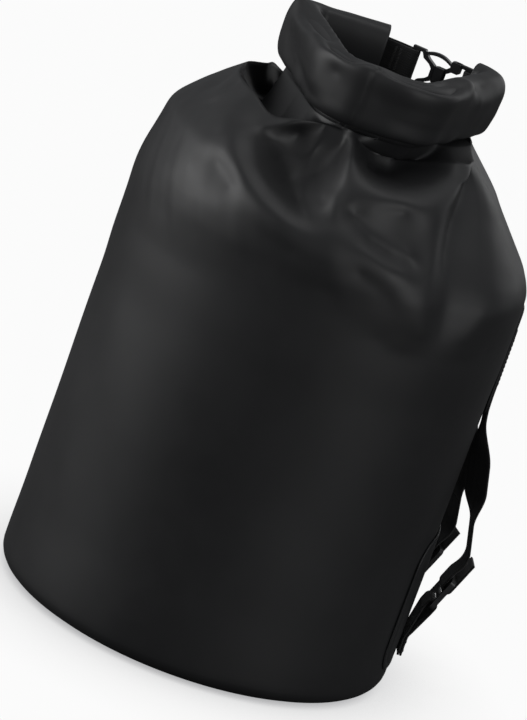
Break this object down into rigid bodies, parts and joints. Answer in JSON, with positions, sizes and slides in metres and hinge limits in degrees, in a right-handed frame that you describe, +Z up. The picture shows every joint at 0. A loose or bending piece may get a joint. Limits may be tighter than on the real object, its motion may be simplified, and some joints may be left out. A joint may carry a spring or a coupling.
{
  "type": "roll-top dry bag",
  "caption": "Cylindrical roll-top dry bag, rolled shut by a side-release buckle, with webbing shoulder straps on ladder-lock adjusters; opens by squeezing the buckle.",
  "frame": {"origin": "centre of the round base's underside, on the floor", "axes": "+Z up the bag; -Y is the front with the roll's front crease; +X is the shoulder-strap side; the buckle lies at +Y behind the roll"},
  "size_m": [0.2899, 0.26, 0.392],
  "materials": {
    "coated_fabric": "PVC-coated polyester tarpaulin, satin black",
    "webbing": "woven polyester webbing, black",
    "thread": "bonded polyester thread, black",
    "moulded_plastic": "moulded acetal, fine satin texture",
    "stiffener": "flat polyethylene strip"
  },
  "bodies": {
    "bag": {"body_tube": "coated_fabric", "base_panel": "coated_fabric", "roll_right": "coated_fabric", "stiffener_right": "stiffener", "closure_webbing_right": "webbing", "buckle_socket": "moulded_plastic", "strap_patch_upper": "coated_fabric", "strap_patch_lower": "coated_fabric", "strap_stitching_upper": "thread", "strap_stitching_lower": "thread"},
    "left_closure": {"roll_left": "coated_fabric", "stiffener_left": "stiffener", "closure_webbing_left": "webbing", "closure_bartack_left": "thread", "buckle_plug": "moulded_plastic"},
    "upper_release": {"release_arm_upper": "moulded_plastic"},
    "lower_release": {"release_arm_lower": "moulded_plastic"},
    "near_strap": {"shoulder_strap_near": "webbing", "lower_loop_near": "webbing"},
    "far_strap": {"shoulder_strap_far": "webbing", "lower_loop_far": "webbing"},
    "near_adjuster": {"adjuster_near": "moulded_plastic"},
    "far_adjuster": {"adjuster_far": "moulded_plastic"}
  },
  "joints": [
    {"name": "closure_swing", "type": "hinge", "parent": "bag", "child": "left_closure", "pos_m": [-0.005, -0.056, 0.37325], "axis": [0, 0, 1], "range_deg": [0, 25], "deforming": ["release_arm_upper", "release_arm_lower"]},
    {"name": "upper_release_squeeze", "type": "hinge", "parent": "left_closure", "child": "upper_release", "pos_m": [0.01963, 0.06702, 0.38385], "axis": [0.28, 0.96, 0], "range_deg": [0, 5]},
    {"name": "lower_release_squeeze", "type": "hinge", "parent": "left_closure", "child": "lower_release", "pos_m": [0.01963, 0.06702, 0.36265], "axis": [-0.28, -0.96, 0], "range_deg": [0, 5]},
    {"name": "near_strap_swing", "type": "hinge", "parent": "bag", "child": "near_strap", "pos_m": [0.13325, 0.00201, 0.03935], "axis": [-0.0072, 0.0834, 0.9965], "range_deg": [-20, 20], "deforming": ["shoulder_strap_near", "lower_loop_near"]},
    {"name": "near_adjuster_tilt", "type": "hinge", "parent": "near_strap", "child": "near_adjuster", "pos_m": [0.1412, 0.00452, 0.06168], "axis": [-0.0782, 0.9934, -0.0837], "range_deg": [0, 20]},
    {"name": "far_strap_swing", "type": "hinge", "parent": "bag", "child": "far_strap", "pos_m": [0.11641, 0.06489, 0.03935], "axis": [0.0354, -0.0758, 0.9965], "range_deg": [-20, 20], "deforming": ["shoulder_strap_far", "lower_loop_far"]},
    {"name": "far_adjuster_tilt", "type": "hinge", "parent": "far_strap", "child": "far_adjuster", "pos_m": [0.12454, 0.06669, 0.06168], "axis": [-0.429, 0.8994, 0.0837], "range_deg": [0, 20]}
  ],
  "couplings": [
    {"joint": "lower_release_squeeze", "follows": "upper_release_squeeze", "ratio": 1}
  ]
}
